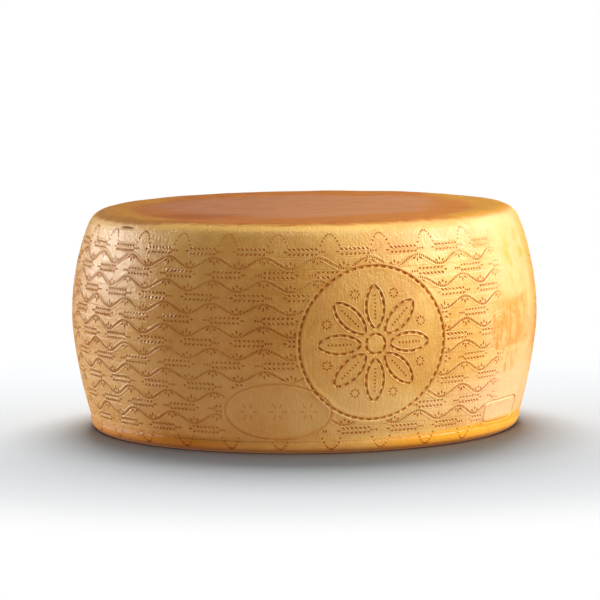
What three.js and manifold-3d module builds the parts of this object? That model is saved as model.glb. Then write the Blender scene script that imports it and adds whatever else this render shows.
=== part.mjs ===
// A whole wheel of aged hard cheese, standing on its flat base: one solid piece.
//
// Millimetres, +Z up. The origin is the centre of the base. The front, which carries the round seal,
// faces -Y. A place on the side is given by a bearing round the wheel, in degrees from the front and
// positive towards +X, and by a height above the base.

import * as THREE from "three";
import { mergeVertices } from "three/addons/utils/BufferGeometryUtils.js";
import Module from "manifold-3d";

// ---- Driving dimensions -----------------------------------------------------------------------

const BELLY_RADIUS = 210; // widest radius of the bulging side
const BELLY_LEVEL = 100; // height of the widest ring
const HEIGHT = 198;
const TOP_DRAW_IN = 21.2; // how far the side comes in between the belly and the top
const TOP_DRAW_POWER = 2.2;
const BASE_DRAW_IN = 19.1; // how far the side comes in between the belly and the base
const BASE_DRAW_POWER = 1.6;
const SHOULDER_RADIUS = 19; // round edge between the side and the top
const FOOT_RADIUS = 6; // round edge between the side and the base

const TOP_DISH = 1.8; // how far the middle of the top lies below its rim
const TOP_RIM_WIDTH = 30; // the slope between that rim and the flat middle

const FOOT_BAND_HEIGHT = 9.5; // plain band below the mould's lower edge
const FOOT_LEDGE = 0.9; // how far that band stands out past the side above it
const FOOT_LEDGE_RISE = 1.2;

// The wheel is a little out of true: each wave moves the side out and in as it goes round.
const SIDE_WAVES = [
  { turns: 3, depth: 0.8, start: 20 },
  { turns: 5, depth: 0.4, start: 75 },
  { turns: 8, depth: 0.2, start: 10 },
];
const TOP_TILT = 0.7; // the top is this much higher on the right (+X) than in the middle
const SHOULDER_SLUMP = 1.5; // how far the shoulder sags on the left (-X)
const SLUMP_REACH = 45; // how far in from the edge that sag is felt
const SLUMP_POWER = 6; // keeps the sag to the upper part of the side

const SEAL = { bearing: 16.7, level: 95.5, radius: 66 };
const SEAL_DASHES = 46;
const SEAL_DASH = { length: 6.6, width: 2.4, depth: 1.1 };

const EYE_RADIUS = 8.5; // the ring in the flower's middle
const EYE_DASHES = 8;
const EYE_DASH = { length: 4.4, width: 2.2, depth: 1.0 };
const PETALS = 8;
const PETAL_GAP = 5; // between the eye and a petal's inner point
const PETAL_LENGTH = 34;
const PETAL_WIDTH = 15;
const PETAL_DASHES = 4; // along each of a petal's two edges
const PETAL_DASH = { length: 6.2, width: 2.2, depth: 1.0 };

// Plain outlined marks. A power of 2 makes an oval, and a higher one squarer corners.
const OVAL = { bearing: -6.9, level: 37.5, halfWidth: 48.5, halfHeight: 24.5, power: 2 };
const TAG = { bearing: 61.5, level: 23.5, halfWidth: 32, halfHeight: 9.5, power: 6 };
const PLATE = { bearing: 61.5, level: 101, halfWidth: 35, halfHeight: 21.5, power: 8 };
const OUTLINE_WIDTH = 2;
const OUTLINE_DEPTH = 0.8;

const NICK = { bearing: -53, level: 190, length: 12, height: 4, depth: 2.5 };

// ---- How finely the solid is faceted ------------------------------------------------------------

const ROUND_SEGMENTS = 96;
const SIDE_ROWS = 12;
const SHOULDER_STEPS = 6;
const FOOT_STEPS = 3;
const DISH_STEPS = 3;
const OUTLINE_STEPS = 40;
const NICK_STEPS = 10;
const CUTTER_LIFT = 1.5; // how far each cutter stands out of the surface
const SAME_POINT = 1e-3; // points closer than this are one

const RAD = Math.PI / 180;

// ---- The side's profile -------------------------------------------------------------------------

function sideRadius(level) {
  const up = Math.max(0, level - BELLY_LEVEL) / (HEIGHT - BELLY_LEVEL);
  const down = Math.max(0, BELLY_LEVEL - level) / BELLY_LEVEL;
  return BELLY_RADIUS - TOP_DRAW_IN * up ** TOP_DRAW_POWER - BASE_DRAW_IN * down ** BASE_DRAW_POWER;
}

// The angle by which the side leans in from upright at a height: positive where it faces up.
function sideLean(level) {
  const step = 0.01;
  return Math.atan2(sideRadius(level - step) - sideRadius(level + step), 2 * step);
}

// Where an edge rounding starts, so that its arc meets the flat face at flatLevel.
function roundingStart(flatLevel, radius, towards) {
  let level = flatLevel - towards * radius;
  for (let pass = 0; pass < 8; pass++) {
    level = flatLevel - towards * radius * (1 - Math.sin(towards * sideLean(level)));
  }
  return level;
}

// Points of an edge rounding, from the side to the flat face.
function roundingArc(flatLevel, radius, towards, steps, out) {
  const start = roundingStart(flatLevel, radius, towards);
  const lean = sideLean(start);
  const centreRadius = sideRadius(start) + out - radius * Math.cos(lean);
  const centreLevel = start - radius * Math.sin(lean);
  const points = [];
  for (let i = 0; i <= steps; i++) {
    const angle = lean + (towards * 90 * RAD - lean) * (i / steps);
    points.push(
      new THREE.Vector2(centreRadius + radius * Math.cos(angle), centreLevel + radius * Math.sin(angle)),
    );
  }
  return points;
}

function wheelProfile() {
  const foot = roundingArc(0, FOOT_RADIUS, -1, FOOT_STEPS, FOOT_LEDGE).reverse();
  const shoulder = roundingArc(HEIGHT, SHOULDER_RADIUS, 1, SHOULDER_STEPS, 0);
  const points = [new THREE.Vector2(0, 0), ...foot];
  points.push(new THREE.Vector2(sideRadius(FOOT_BAND_HEIGHT) + FOOT_LEDGE, FOOT_BAND_HEIGHT));
  const sideStart = FOOT_BAND_HEIGHT + FOOT_LEDGE_RISE;
  for (let row = 0; row < SIDE_ROWS; row++) {
    const level = sideStart + (shoulder[0].y - sideStart) * (row / SIDE_ROWS);
    points.push(new THREE.Vector2(sideRadius(level), level));
  }
  points.push(...shoulder);
  const rimRadius = shoulder.at(-1).x;
  for (let step = 1; step <= DISH_STEPS; step++) {
    const share = step / DISH_STEPS;
    const sunk = (TOP_DISH * (1 - Math.cos(share * Math.PI))) / 2;
    points.push(new THREE.Vector2(rimRadius - TOP_RIM_WIDTH * share, HEIGHT - sunk));
  }
  points.push(new THREE.Vector2(0, HEIGHT - TOP_DISH));
  return points;
}

// ---- How a real wheel is out of true --------------------------------------------------------------

function settle(point) {
  const radius = Math.hypot(point.x, point.y);
  const bearing = Math.atan2(point.x, -point.y);
  const upright = point.z / HEIGHT;
  let wave = 0;
  for (const { turns, depth, start } of SIDE_WAVES) {
    wave += depth * Math.cos(turns * bearing - start * RAD);
  }
  const grown = 1 + wave / BELLY_RADIUS;
  const nearEdge = Math.max(0, 1 - (BELLY_RADIUS - radius) / SLUMP_REACH);
  const onLeft = Math.max(0, -Math.sin(bearing)) ** 2;
  const sag = SHOULDER_SLUMP * onLeft * nearEdge * upright ** SLUMP_POWER;
  const tilt = TOP_TILT * upright * (point.x / BELLY_RADIUS);
  return new THREE.Vector3(point.x * grown, point.y * grown, point.z + tilt - sag);
}

// The surface at a bearing and height, with the directions across, up and out of it.
function sideFrame(bearing, level) {
  const angle = bearing * RAD;
  const lean = sideLean(level);
  const outward = new THREE.Vector3(Math.sin(angle), -Math.cos(angle), 0);
  const across = new THREE.Vector3(Math.cos(angle), Math.sin(angle), 0);
  const up = outward.clone().multiplyScalar(-Math.sin(lean));
  up.z = Math.cos(lean);
  const out = outward.clone().multiplyScalar(Math.cos(lean));
  out.z = Math.sin(lean);
  const place = outward.multiplyScalar(sideRadius(level));
  place.z = level;
  return { place: settle(place), across, up, out };
}

// The surface at a flat offset, in mm, from a mark's centre.
function markFrame(mark, right, above) {
  return sideFrame(mark.bearing + right / BELLY_RADIUS / RAD, mark.level + above);
}

// ---- Cutters that press the marks into the side ---------------------------------------------------

// A bar-shaped cutter whose long side makes the angle turn with the horizontal.
function dashCutter(mark, right, above, turn, { length, width, depth }) {
  const { place, across, up, out } = markFrame(mark, right, above);
  const box = new THREE.BoxGeometry(length, width, depth + CUTTER_LIFT);
  box.translate(0, 0, (CUTTER_LIFT - depth) / 2);
  box.rotateZ(turn);
  box.applyMatrix4(new THREE.Matrix4().makeBasis(across, up, out).setPosition(place));
  return box;
}

// A mark's closed outline, as flat offsets from its centre.
function roundedOutline({ halfWidth, halfHeight, power }) {
  const points = [];
  for (let i = 0; i < OUTLINE_STEPS; i++) {
    const angle = (i / OUTLINE_STEPS) * 360 * RAD;
    const c = Math.cos(angle);
    const s = Math.sin(angle);
    const right = halfWidth * Math.sign(c) * Math.abs(c) ** (2 / power);
    const above = halfHeight * Math.sign(s) * Math.abs(s) ** (2 / power);
    points.push(new THREE.Vector2(right, above));
  }
  return points;
}

// A V-shaped cutter that follows a mark's outline.
function outlineCutter(mark) {
  const frames = roundedOutline(mark).map((p) => markFrame(mark, p.x, p.y));
  const spread = ((OUTLINE_WIDTH / 2) * (OUTLINE_DEPTH + CUTTER_LIFT)) / OUTLINE_DEPTH;
  const vertices = [];
  frames.forEach(({ place, out }, i) => {
    const before = frames.at(i - 1).place;
    const after = frames[(i + 1) % frames.length].place;
    const along = after.clone().sub(before).normalize();
    const sideways = along.cross(out).normalize();
    const tip = place.clone().addScaledVector(out, -OUTLINE_DEPTH);
    const top = place.clone().addScaledVector(out, CUTTER_LIFT);
    const right = top.clone().addScaledVector(sideways, spread);
    const left = top.clone().addScaledVector(sideways, -spread);
    vertices.push(...tip.toArray(), ...right.toArray(), ...left.toArray());
  });
  const faces = [];
  for (let i = 0; i < frames.length; i++) {
    const next = (i + 1) % frames.length;
    for (let k = 0; k < 3; k++) {
      const a = 3 * i + k;
      const b = 3 * i + ((k + 1) % 3);
      const c = 3 * next + k;
      const d = 3 * next + ((k + 1) % 3);
      faces.push(a, d, b, a, c, d);
    }
  }
  const geometry = new THREE.BufferGeometry();
  geometry.setAttribute("position", new THREE.Float32BufferAttribute(vertices, 3));
  geometry.setIndex(faces);
  return geometry;
}

// A closed three.js geometry as a solid that can be joined and cut.
function solidOf(wasm, geometry) {
  const bare = geometry.clone();
  bare.deleteAttribute("normal");
  bare.deleteAttribute("uv");
  const merged = mergeVertices(bare, SAME_POINT);
  const vertProperties = merged.attributes.position.array;
  return new wasm.Manifold(
    new wasm.Mesh({ numProp: 3, vertProperties, triVerts: new Uint32Array(merged.index.array) }),
  );
}

function geometryOf(solid) {
  const mesh = solid.getMesh();
  const geometry = new THREE.BufferGeometry();
  geometry.setAttribute("position", new THREE.BufferAttribute(mesh.vertProperties, 3));
  geometry.setIndex(new THREE.BufferAttribute(mesh.triVerts, 1));
  geometry.computeVertexNormals();
  return geometry;
}

// ---- The wheel and its marks ----------------------------------------------------------------------

function wheelBody() {
  const body = new THREE.LatheGeometry(wheelProfile(), ROUND_SEGMENTS);
  body.rotateX(90 * RAD);
  const position = body.attributes.position;
  for (let i = 0; i < position.count; i++) {
    const settled = settle(new THREE.Vector3().fromBufferAttribute(position, i));
    position.setXYZ(i, settled.x, settled.y, settled.z);
  }
  return body;
}

// Dashes end to end round a circle in the middle of the seal.
function sealCircle(radius, count, dash) {
  const cutters = [];
  for (let i = 0; i < count; i++) {
    const angle = (i / count) * 360 * RAD;
    const right = radius * Math.cos(angle);
    const above = radius * Math.sin(angle);
    cutters.push(dashCutter(SEAL, right, above, angle + 90 * RAD, dash));
  }
  return cutters;
}

// One edge of a pointed petal that lies along the direction heading: edge is 1 or -1.
function petalEdge(heading, edge) {
  const cutters = [];
  for (let i = 0; i < PETAL_DASHES; i++) {
    const share = (i + 0.5) / PETAL_DASHES;
    const along = EYE_RADIUS + PETAL_GAP + PETAL_LENGTH * share;
    const bulge = (edge * PETAL_WIDTH) / 2;
    const aside = bulge * Math.sin(share * Math.PI);
    const slope = (bulge * Math.PI * Math.cos(share * Math.PI)) / PETAL_LENGTH;
    const right = along * Math.cos(heading) - aside * Math.sin(heading);
    const above = along * Math.sin(heading) + aside * Math.cos(heading);
    cutters.push(dashCutter(SEAL, right, above, heading + Math.atan(slope), PETAL_DASH));
  }
  return cutters;
}

function sealPetals() {
  const cutters = [];
  for (let petal = 0; petal < PETALS; petal++) {
    const heading = (petal / PETALS) * 360 * RAD;
    cutters.push(...petalEdge(heading, 1), ...petalEdge(heading, -1));
  }
  return cutters;
}

// A fold left where the rim slumped against the mould.
function nickCutter() {
  const { place, across, up, out } = sideFrame(NICK.bearing, NICK.level);
  const nick = new THREE.SphereGeometry(1, NICK_STEPS, NICK_STEPS);
  nick.scale(NICK.length / 2, NICK.height / 2, NICK.depth);
  nick.applyMatrix4(new THREE.Matrix4().makeBasis(across, up, out).setPosition(place));
  return nick;
}

const wasm = await Module();
wasm.setup();

const marks = [
  ...sealCircle(SEAL.radius, SEAL_DASHES, SEAL_DASH),
  ...sealCircle(EYE_RADIUS, EYE_DASHES, EYE_DASH),
  ...sealPetals(),
  outlineCutter(OVAL),
  outlineCutter(TAG),
  outlineCutter(PLATE),
  nickCutter(),
].map((geometry) => solidOf(wasm, geometry));
const cheese = solidOf(wasm, wheelBody()).subtract(wasm.Manifold.union(marks));

const rind = new THREE.MeshStandardMaterial({ color: 0xd6a055, roughness: 0.55, metalness: 0 });
const cheeseWheel = new THREE.Mesh(geometryOf(cheese), rind);
cheeseWheel.name = "cheese_wheel";

const wheel = new THREE.Group();
wheel.add(cheeseWheel);

export default wheel;
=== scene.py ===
"""A whole wheel of aged hard cheese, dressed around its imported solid.

Metres, +Z up. The origin is the centre of the base, and the side with the round seal faces -Y.
A place on the side is a bearing, in radians round the wheel from -Y and positive towards +X, and a
level above the base. The wheel is one mesh: a turned body with its lumps, out of which the grooves
and some ten thousand small pits are cut for the marks that the mould pressed into the rind.
"""

from collections import namedtuple
from functools import partialmethod
from math import atan, atan2, cos, pi, sin, tau

import bpy
import numpy as np
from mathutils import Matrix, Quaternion, Vector, noise
from mathutils.bvhtree import BVHTree


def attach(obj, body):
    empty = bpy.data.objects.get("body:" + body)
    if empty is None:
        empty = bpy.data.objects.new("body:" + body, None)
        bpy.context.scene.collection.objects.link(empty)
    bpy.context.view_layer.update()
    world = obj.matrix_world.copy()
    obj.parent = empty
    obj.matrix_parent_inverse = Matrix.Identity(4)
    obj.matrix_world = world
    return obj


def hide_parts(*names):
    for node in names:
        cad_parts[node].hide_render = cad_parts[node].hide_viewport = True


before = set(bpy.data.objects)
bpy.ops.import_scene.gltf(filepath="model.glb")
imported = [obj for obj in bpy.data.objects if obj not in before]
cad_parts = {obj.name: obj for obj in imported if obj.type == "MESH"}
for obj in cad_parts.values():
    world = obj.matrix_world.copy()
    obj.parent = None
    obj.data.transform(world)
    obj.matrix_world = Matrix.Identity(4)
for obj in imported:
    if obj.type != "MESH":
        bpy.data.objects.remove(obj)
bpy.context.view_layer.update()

MM = 0.001
DEG = pi / 180

# ---- The wheel's form, the same as the solid's

BELLY_RADIUS = 210 * MM
BELLY_LEVEL = 100 * MM
HEIGHT = 198 * MM
TOP_DRAW_IN = 21.2 * MM
TOP_DRAW_POWER = 2.2
BASE_DRAW_IN = 19.1 * MM
BASE_DRAW_POWER = 1.6
SHOULDER_RADIUS = 19 * MM
FOOT_RADIUS = 6 * MM
TOP_DISH = 1.8 * MM
TOP_RIM_WIDTH = 30 * MM
FOOT_BAND_HEIGHT = 9.5 * MM
FOOT_LEDGE = 0.9 * MM
FOOT_LEDGE_RISE = 1.2 * MM
SIDE_WAVES = ((3, 0.8 * MM, 20), (5, 0.4 * MM, 75), (8, 0.2 * MM, 10))  # turns, depth, start in degrees
TOP_TILT = 0.7 * MM
SHOULDER_SLUMP = 1.5 * MM
SLUMP_REACH = 45 * MM
SLUMP_POWER = 6

# ---- How finely the body is divided

COLUMNS = 216
SIDE_ROWS = 26
SHOULDER_STEPS = 8
FOOT_STEPS = 4
DISH_STEPS = 5
TOP_RINGS = 6
FINE_ROWS = 400  # for looking up the radius at a level

# ---- The marks

# wide and high are half sizes. A power of 2 is an ellipse, and more is a box with round corners.
Mark = namedtuple("Mark", "bearing level wide high power", defaults=[2])
SEAL = Mark(16.7 * DEG, 95.5 * MM, 66 * MM, 66 * MM, 2)
OVAL = Mark(-6.9 * DEG, 37.5 * MM, 48.5 * MM, 24.5 * MM, 2)
TAG = Mark(61.5 * DEG, 23.5 * MM, 32 * MM, 9.5 * MM, 6)
PLATE = Mark(61.5 * DEG, 101 * MM, 35 * MM, 21.5 * MM, 8)
OUTLINED = (SEAL, OVAL, TAG)

CELLS = 28  # how often the running pattern repeats round the wheel
CELL = tau / CELLS
CELL_WIDTH = CELL * BELLY_RADIUS
EAR_ROWS = 9
TOP_EAR_LEVEL = 174.3 * MM
LOW_EAR_LEVEL = 20.1 * MM
ROW_PITCH = (TOP_EAR_LEVEL - LOW_EAR_LEVEL) / (EAR_ROWS - 1)

# Sizes of the pits: length, width, depth.
DOT = (1.7 * MM, 2.1 * MM, 1.0 * MM)
GRAIN = (4.5 * MM, 2.4 * MM, 1.15 * MM)
LEAF = (5.0 * MM, 2.4 * MM, 1.1 * MM)
DASH = (4.9 * MM, 2.2 * MM, 1.5 * MM)
STAR_DASH = (5.4 * MM, 2.0 * MM, 0.5 * MM)
PIT_LIFT = 0.2 * MM  # how far each cutter stands out of the rind


# ---- The camera

CAMERA_DISTANCE = 3.3  # from the middle of the wheel
CAMERA_RISE = 6.35 * DEG
CAMERA_ROLL = 0.6 * DEG
SENSOR_WIDTH = 36.0  # millimetres, as Blender states it
CAMERA_LENS = 218.3
AIM_LEFT = 3.7 * MM  # the wheel stands a little right of and below the picture's middle
AIM_UP = 13.2 * MM


def add_camera():
    """Stands where the photograph was taken: far off, with a long lens, a little above the wheel."""
    middle = Vector((0, 0, HEIGHT / 2))
    back = Vector((0, -cos(CAMERA_RISE), sin(CAMERA_RISE)))
    up = Vector((0, sin(CAMERA_RISE), cos(CAMERA_RISE)))
    bpy.ops.object.camera_add(location=middle + back * CAMERA_DISTANCE)
    camera = bpy.context.object
    camera.name = "camera"
    aim = middle + up * AIM_UP + Vector((-AIM_LEFT, 0, 0))
    look = (aim - camera.location).to_track_quat("-Z", "Y")
    camera.rotation_mode = "QUATERNION"
    camera.rotation_quaternion = look @ Quaternion((0, 0, 1), -CAMERA_ROLL)
    camera.data.sensor_width = SENSOR_WIDTH
    camera.data.lens = CAMERA_LENS
    camera.data.clip_end = 50
    bpy.context.scene.camera = camera


# ---- The body's profile

ARC_ROUNDS = 8  # enough to find where a rounding starts


def side_radius(level):
    up = np.maximum(0, level - BELLY_LEVEL) / (HEIGHT - BELLY_LEVEL)
    down = np.maximum(0, BELLY_LEVEL - level) / BELLY_LEVEL
    return BELLY_RADIUS - TOP_DRAW_IN * up**TOP_DRAW_POWER - BASE_DRAW_IN * down**BASE_DRAW_POWER


def side_lean(level):
    """The angle by which the side leans in from upright, positive where it faces up."""
    step = 0.01 * MM
    return atan2(side_radius(level - step) - side_radius(level + step), 2 * step)


def rounding_arc(flat_level, radius, towards, steps, out):
    """(radius, level) points of an edge rounding, from the side to the flat face at flat_level."""
    start = flat_level - towards * radius
    for _ in range(ARC_ROUNDS):
        start = flat_level - towards * radius * (1 - sin(towards * side_lean(start)))
    lean = side_lean(start)
    centre_radius = side_radius(start) + out - radius * cos(lean)
    centre_level = start - radius * sin(lean)
    points = []
    for i in range(steps + 1):
        angle = lean + (towards * pi / 2 - lean) * i / steps
        points.append((centre_radius + radius * cos(angle), centre_level + radius * sin(angle)))
    return points


def side_profile(side_rows, shoulder_steps, foot_steps):
    """(radius, level) points from the edge of the base, up the side, to the edge of the top."""
    foot = rounding_arc(0, FOOT_RADIUS, -1, foot_steps, FOOT_LEDGE)[::-1]
    shoulder = rounding_arc(HEIGHT, SHOULDER_RADIUS, 1, shoulder_steps, 0)
    points = foot + [(side_radius(FOOT_BAND_HEIGHT) + FOOT_LEDGE, FOOT_BAND_HEIGHT)]
    side_start = FOOT_BAND_HEIGHT + FOOT_LEDGE_RISE
    for row in range(side_rows):
        level = side_start + (shoulder[0][1] - side_start) * row / side_rows
        points.append((side_radius(level), level))
    return points + shoulder


def wheel_profile():
    """The whole outline that is turned, from the middle of the base to the middle of the top."""
    side = side_profile(SIDE_ROWS, SHOULDER_STEPS, FOOT_STEPS)
    points = [(0, 0), (side[0][0] / 2, 0)] + side
    rim_radius = side[-1][0]
    for step in range(1, DISH_STEPS + 1):
        share = step / DISH_STEPS
        sunk = TOP_DISH * (1 - cos(share * pi)) / 2
        points.append((rim_radius - TOP_RIM_WIDTH * share, HEIGHT - sunk))
    flat_radius = rim_radius - TOP_RIM_WIDTH
    for ring in range(1, TOP_RINGS + 1):
        points.append((flat_radius * (1 - ring / TOP_RINGS), HEIGHT - TOP_DISH))
    return points


# ---- Places on the side

FINE_PROFILE = np.array(side_profile(FINE_ROWS, FINE_ROWS // 4, FINE_ROWS // 8))
FINE_LEAN = -np.arctan(np.gradient(FINE_PROFILE[1:-1, 0], FINE_PROFILE[1:-1, 1]))


def bearing_of(points):
    return np.arctan2(points[:, 0], -points[:, 1])


def settle(points):
    """Moves points of the true round form to where they lie on this wheel, a little out of true."""
    radius = np.hypot(points[:, 0], points[:, 1])
    bearing = bearing_of(points)
    upright = points[:, 2] / HEIGHT
    wave = sum(depth * np.cos(turns * bearing - start * DEG) for turns, depth, start in SIDE_WAVES)
    near_edge = np.maximum(0, 1 - (BELLY_RADIUS - radius) / SLUMP_REACH)
    on_left = np.maximum(0, -np.sin(bearing)) ** 2
    sag = SHOULDER_SLUMP * on_left * near_edge * upright**SLUMP_POWER
    tilt = TOP_TILT * upright * points[:, 0] / BELLY_RADIUS
    grown = (1 + wave / BELLY_RADIUS)[:, None]
    return np.column_stack((points[:, :2] * grown, points[:, 2] + tilt - sag))


def side_frame(bearing, level):
    """The places on the true round form, and the directions across, up and out of it there."""
    radius = np.interp(level, FINE_PROFILE[:, 1], FINE_PROFILE[:, 0])
    lean = np.interp(level, FINE_PROFILE[1:-1, 1], FINE_LEAN)
    s, c, flat = np.sin(bearing), np.cos(bearing), np.zeros_like(bearing)
    place = np.column_stack((radius * s, -radius * c, level))
    across = np.column_stack((c, s, flat))
    out = np.column_stack((np.cos(lean) * s, -np.cos(lean) * c, np.sin(lean)))
    up = np.column_stack((-np.sin(lean) * s, np.sin(lean) * c, np.cos(lean)))
    return place, across, up, out


def smooth(low, high, value):
    """0 below low, 1 above high, and an even curve between them."""
    t = np.clip((value - low) / (high - low), 0, 1)
    return t * t * (3 - 2 * t)


def mark_offset(mark, bearing, level):
    """Flat offsets (right, above) from a mark's centre."""
    turn = (bearing - mark.bearing + pi) % tau - pi
    return turn * BELLY_RADIUS, level - mark.level


def outline_distance(mark, bearing, level):
    """About how far a place lies outside a mark's outline: negative inside it."""
    right, above = mark_offset(mark, bearing, level)
    power, wide, high = mark.power, mark.wide, mark.high
    x, y = np.abs(right) / wide, np.abs(above) / high
    share = np.maximum((x**power + y**power) ** (1 / power), 0.01)
    slope = share ** (1 - power) * np.hypot(x ** (power - 1) / wide, y ** (power - 1) / high)
    return (share - 1) / np.maximum(slope, 1)


# ---- Relief: lumps, lips and the nick

LUMPS = ((24, 0.45 * MM), (70, 0.14 * MM), (150, 0.06 * MM))  # how many to the metre, and how high
LIP_HEIGHT = 0.5 * MM  # on both sides of a pressed outline
LIP_OFFSET = 2.2 * MM
LIP_WIDTH = 1.2 * MM
TAG_SINK = 0.3 * MM
PLATE_SINK = 0.35 * MM
PLATE_CRUMBS = (260, 0.45 * MM)
NICK = Mark(-53.5 * DEG, 190.2 * MM, 12 * MM, 1.1 * MM)
NICK_DEPTH = 1.0 * MM


def bumps(points, many, high):
    return np.array([noise.noise(Vector(p) * many) for p in points]) * high


def inside(mark, bearing, level, soft):
    """1 inside a mark's outline and 0 outside it, with a soft edge."""
    return smooth(soft, -soft, outline_distance(mark, bearing, level))


def relief(points, bearing, level):
    """How far the rind stands out of its smooth form. The base stays flat."""
    lumps = sum(bumps(points, many, high) for many, high in LUMPS)
    marks = np.zeros_like(level)
    for mark in OUTLINED:
        distance = np.abs(outline_distance(mark, bearing, level))
        marks += LIP_HEIGHT * np.exp(-(((distance - LIP_OFFSET) / LIP_WIDTH) ** 2))
    marks -= TAG_SINK * inside(TAG, bearing, level, 1 * MM)
    marks += inside(PLATE, bearing, level, 2 * MM) * (bumps(points, *PLATE_CRUMBS) - PLATE_SINK)
    on_side = smooth(12 * MM, 16 * MM, level) * (1 - smooth(182 * MM, 190 * MM, level))
    right, above = mark_offset(NICK, bearing, level)
    nick = np.exp(-((right / NICK.wide) ** 2) - (above / NICK.high) ** 2)
    off_base = smooth(1 * MM, 6 * MM, level)
    return (lumps + marks * on_side - NICK_DEPTH * nick) * off_base


# ---- The turned body

def read(items, name, each=1, kind=float):
    """One property of each of a mesh's vertices, faces or loops."""
    values = np.empty(len(items) * each, dtype=kind)
    items.foreach_get(name, values)
    return values.reshape(-1, each) if each > 1 else values


def turn_body():
    """Draws the profile point by point and spins it into a closed wheel."""
    bpy.ops.object.select_all(action="DESELECT")
    bpy.ops.mesh.primitive_plane_add(size=MM)
    body = bpy.context.object
    body.name = "wheel_rind"
    bpy.ops.object.mode_set(mode="EDIT")
    bpy.ops.mesh.select_mode(type="VERT")
    bpy.ops.mesh.merge(type="CENTER")
    profile = wheel_profile()
    for before, after in zip(profile, profile[1:]):
        step = (after[0] - before[0], 0, after[1] - before[1])
        bpy.ops.mesh.extrude_region_move(TRANSFORM_OT_translate={"value": step})
    bpy.ops.mesh.select_all(action="SELECT")
    bpy.ops.mesh.spin(steps=COLUMNS, angle=tau, center=(0, 0, 0), axis=(0, 0, 1))
    bpy.ops.mesh.select_all(action="SELECT")
    bpy.ops.mesh.remove_doubles(threshold=0.01 * MM)
    bpy.ops.mesh.normals_make_consistent(inside=False)
    bpy.ops.object.mode_set(mode="OBJECT")
    return body


ON_TOP = 0.85  # of the radius, inside which a face is on the top or the base


def near_marks(centres, reach):
    """Which places lie near an outline, in the crumbly patch or near the nick."""
    bearing, level = bearing_of(centres), centres[:, 2]
    chosen = outline_distance(PLATE, bearing, level) < reach
    for mark in OUTLINED:
        chosen |= np.abs(outline_distance(mark, bearing, level)) < reach
    right, above = mark_offset(NICK, bearing, level)
    chosen |= np.hypot(right, above) < 2 * reach
    off_top = np.hypot(centres[:, 0], centres[:, 1]) > BELLY_RADIUS * ON_TOP
    return chosen & off_top & (level > FOOT_BAND_HEIGHT + FOOT_LEDGE_RISE)


def divide_near_marks(body, reach):
    """Halves the faces near the marks, where the rind needs finer relief."""
    bpy.ops.object.mode_set(mode="EDIT")
    bpy.ops.mesh.select_mode(type="FACE")
    bpy.ops.mesh.select_all(action="DESELECT")
    bpy.ops.object.mode_set(mode="OBJECT")
    centres = read(body.data.polygons, "center", 3)
    body.data.polygons.foreach_set("select", near_marks(centres, reach))
    bpy.ops.object.mode_set(mode="EDIT")
    bpy.ops.mesh.subdivide(number_cuts=1)
    bpy.ops.object.mode_set(mode="OBJECT")


def shape_body(body):
    """Raises the lumps, presses the grooves, and lets the wheel settle out of true."""
    mesh = body.data
    points = read(mesh.vertices, "co", 3)
    rise = relief(points, bearing_of(points), points[:, 2])
    points = settle(points + read(mesh.vertices, "normal", 3) * rise[:, None])
    mesh.vertices.foreach_set("co", points.ravel())
    mesh.update()


# ---- The pressed pattern
# A pit is (bearing, level, turn, length, width, depth). A line is a closed row of flat offsets
# (right, above) from a mark's centre.

def flat_pits(bearing, level, shapes, size):
    """Pits of one size at flat offsets (right, above, turn) from a place on the side."""
    return [(bearing + right / BELLY_RADIUS, level + above, turn, *size) for right, above, turn in shapes]


EAR_PAIRS = 7
EAR_STEP = 4.0 * MM
EAR_START = -11 * MM
GRAIN_ASIDE = 2.15 * MM
GRAIN_TURN = 32 * DEG
STALK_DOTS = 3
STALK_STEP = 2.5 * MM


def wheat_ear(facing):
    """(stalk dots, grains) of an ear of wheat that lies along the row. facing is 1 or -1."""
    stalk = [(facing * (EAR_START - STALK_STEP * (i + 1.1)), 0, 0) for i in range(STALK_DOTS)]
    grains = [(facing * (EAR_START + EAR_STEP * EAR_PAIRS), 0, 0)]
    for pair in range(EAR_PAIRS):
        for side in (-1, 1):
            right = facing * (EAR_START + EAR_STEP * pair)
            grains.append((right, side * GRAIN_ASIDE, side * facing * GRAIN_TURN))
    return stalk, grains


VINE_SWING = 4.4 * MM
VINE_DOTS = 23  # in one cell
LEAF_SPREAD = 50 * DEG
LEAF_REACH = 4.4 * MM  # from the stem to a leaf's middle


def vine_cell():
    """(stem dots, leaves) of a running vine, with three leaves inside each of its two bends."""
    phase = np.linspace(0, tau, 200)
    right, above = CELL_WIDTH * phase / tau, VINE_SWING * np.sin(phase)
    run = np.concatenate(([0], np.cumsum(np.hypot(np.diff(right), np.diff(above)))))
    at = np.interp(np.arange(VINE_DOTS) / VINE_DOTS * run[-1], run, phase)
    slope = VINE_SWING * tau / CELL_WIDTH * np.cos(at)
    stem = list(zip(CELL_WIDTH * at / tau, VINE_SWING * np.sin(at), np.arctan(slope)))
    leaves = []
    for bend, inward in ((0.25, -1), (0.75, 1)):
        for side in (-1, 0, 1):
            turn = inward * pi / 2 + side * LEAF_SPREAD
            leaf_right = CELL_WIDTH * bend + LEAF_REACH * cos(turn)
            leaf_above = -inward * VINE_SWING + LEAF_REACH * sin(turn)
            leaves.append((leaf_right, leaf_above, turn))
    return stem, leaves


SCALLOP_DOTS = 11
SCALLOP_WIDTH = 17 * MM
SCALLOP_HEIGHT = 9.5 * MM
TOP_SCALLOP_LEVEL = 179.5 * MM
LOW_SCALLOP_LEVEL = 13.5 * MM


def scallop(up):
    """A dotted arch that stands on its feet, or hangs when up is -1."""
    arch = []
    for share in np.linspace(-1, 1, SCALLOP_DOTS):
        slope = -up * 4 * SCALLOP_HEIGHT * share / SCALLOP_WIDTH
        arch.append((share * SCALLOP_WIDTH / 2, up * SCALLOP_HEIGHT * (1 - share**2), atan(slope)))
    return arch


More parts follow.
